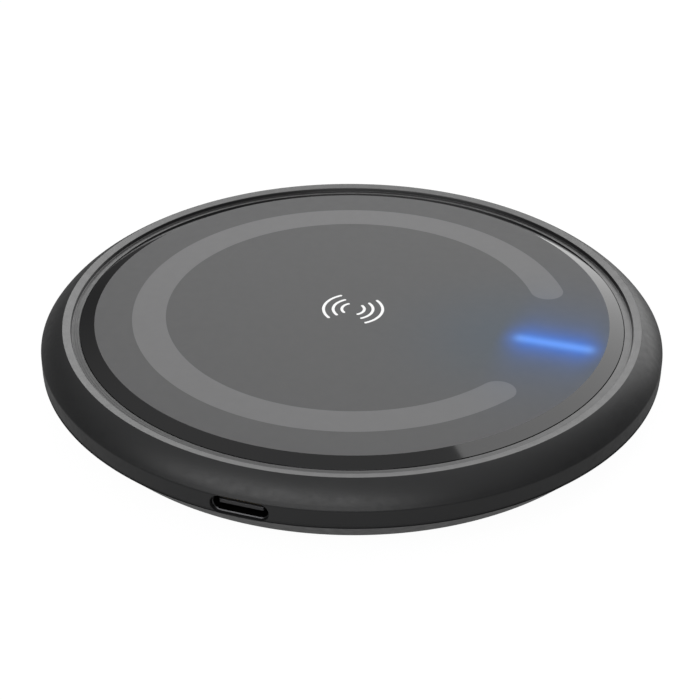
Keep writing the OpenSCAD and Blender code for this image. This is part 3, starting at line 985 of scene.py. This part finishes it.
def set_camera():
    """A long lens above and in front of the pad, a little to the right of its socket."""
    right = Vector((math.cos(VIEW_TURN), math.sin(VIEW_TURN), 0))
    beyond = Vector((-math.sin(VIEW_TURN), math.cos(VIEW_TURN), 0))
    upright = Vector((0, 0, 1))
    aim = right * VIEW_AIM[0] + beyond * VIEW_AIM[1] + upright * VIEW_AIM[2]
    back = upright * math.sin(VIEW_UP) - beyond * math.cos(VIEW_UP)
    top = back.cross(right)
    side = right * math.cos(VIEW_ROLL) + top * math.sin(VIEW_ROLL)
    top = back.cross(side)
    at = (aim + back * VIEW_FAR) * MM
    camera_data = bpy.data.cameras.new("camera")
    camera_data.lens = LENS
    camera_data.sensor_width = 36
    camera_data.clip_start = 0.005
    camera_data.clip_end = 20
    camera = bpy.data.objects.new("camera", camera_data)
    bpy.context.scene.collection.objects.link(camera)
    turn = Matrix((side, top, back)).transposed().to_4x4()
    camera.matrix_world = Matrix.Translation(at) @ turn
    bpy.context.scene.camera = camera


def softbox(name, place_at, look_at, width, height, radiance):
    """A rectangular softbox. Places are in metres, and radiance is what it shows in a mirror."""
    data = bpy.data.lights.new(name, "AREA")
    data.shape = "RECTANGLE"
    data.size = width
    data.size_y = height
    data.energy = radiance * math.pi * width * height
    light = bpy.data.objects.new(name, data)
    bpy.context.scene.collection.objects.link(light)
    away = (Vector(place_at) - Vector(look_at)).normalized()
    turn = away.to_track_quat("Z", "Y").to_matrix().to_4x4()
    light.matrix_world = Matrix.Translation(Vector(place_at)) @ turn
    light.visible_camera = False


def round_about(azimuth, distance, height, sideways=0.0):
    """A point at a camera azimuth and level distance, shifted sideways to the left of that way."""
    a = seen_from_camera(azimuth)
    return (distance * math.cos(a) - sideways * math.sin(a),
            distance * math.sin(a) + sideways * math.cos(a), height)


def level_box(name, azimuth, height, sideways, width, tall, radiance):
    """A softbox that faces the pad's axis, level."""
    softbox(name, round_about(azimuth, BOX_AWAY, height, sideways),
            round_about(azimuth, 0.0, height, sideways), width, tall, radiance)


def set_lights():
    """Three boxes behind the pad and a broad one above the camera's left shoulder."""
    level_box("tall_right", 50, 0.665, 0.086, 0.49, 1.33, TALL_RADIANCE)
    level_box("behind", 90, 0.43, 0.075, 0.36, 0.465, BEHIND_RADIANCE)
    level_box("low_behind", 90, 0.1, 0.0, 0.31, 0.2, LOW_RADIANCE)
    softbox("front_top", round_about(-116, 0.58, 0.56), (0, 0, 0), 1.1, 0.3, FRONT_RADIANCE)


def set_room():
    """A dim room with a paler ceiling, which the camera itself sees as near white."""
    world = bpy.data.worlds.new("room")
    world.use_nodes = True
    bpy.context.scene.world = world
    tree = world.node_tree
    split = tree.nodes.new("ShaderNodeSeparateXYZ")
    link(tree, tree.nodes.new("ShaderNodeTexCoord").outputs["Generated"], split.inputs[0])
    up = ranged(tree, split.outputs["Z"], 0.2, 0.95, 0, 1, smoothly=True)
    room = mixed(tree, up, WALL_GREY, CEILING_GREY)
    seen = tree.nodes.new("ShaderNodeLightPath").outputs["Is Camera Ray"]
    link(tree, mixed(tree, seen, room, BACKDROP_GREY), tree.nodes["Background"].inputs["Color"])


def measured(tree, operation, other=None):
    """A measure of a point's place: its length, its distance to another, or its reach along one."""
    node = tree.nodes.new("ShaderNodeVectorMath")
    node.operation = operation
    link(tree, place(tree), node.inputs[0])
    if other:
        node.inputs[1].default_value = other
    return node.outputs["Value"]


def set_floor():
    """A pale floor, which throws light on the pad from a pool in front and from far behind."""
    deselect()
    bpy.ops.mesh.primitive_circle_add(
        vertices=96, radius=FLOOR_R, fill_type="NGON", location=(0, 0, 0))
    floor = bpy.context.object
    floor.name = "floor"
    material, tree, shader = new_finish("pale_floor")
    link(tree, mixed(tree, noise(tree, 40), (0.05, 0.05, 0.05), (0.055, 0.055, 0.055)),
         shader.inputs["Base Color"])
    shader.inputs["Roughness"].default_value = 0.9
    shader.inputs["Specular IOR Level"].default_value = 0.0
    shader.inputs["Emission Color"].default_value = (1, 1, 1, 1)
    pool = ranged(tree, measured(tree, "DISTANCE", round_about(-95, POOL_AWAY, 0)),
                  0.0, POOL_R, POOL_GLOW, FLOOR_GLOW, smoothly=True)
    shade = ranged(tree, measured(tree, "LENGTH"), SHADE_IN_R, SHADE_OUT_R, SHADE, 1, smoothly=True)
    beyond = ranged(tree, measured(tree, "DOT_PRODUCT", round_about(90, 1.0, 0)),
                    BEYOND_NEAR, BEYOND_FAR, 0, BEYOND_GLOW, smoothly=True)
    thrown = maths(tree, "MULTIPLY_ADD", pool, shade, beyond)
    seen = tree.nodes.new("ShaderNodeLightPath").outputs["Is Camera Ray"]
    unseen = maths(tree, "SUBTRACT", 1.0, seen)
    glow = maths(tree, "MULTIPLY_ADD", thrown, unseen, maths(tree, "MULTIPLY", seen, FLOOR_SEEN))
    link(tree, glow, shader.inputs["Emission Strength"])
    floor.data.materials.append(material)


set_camera()
build_shell()
build_base()
build_foot()
build_ring()
build_plate()
build_face()
build_socket()
build_tongue()
finish_cad_nodes()
set_lights()
set_room()
set_floor()
bpy.context.scene.view_settings.view_transform = "Standard"
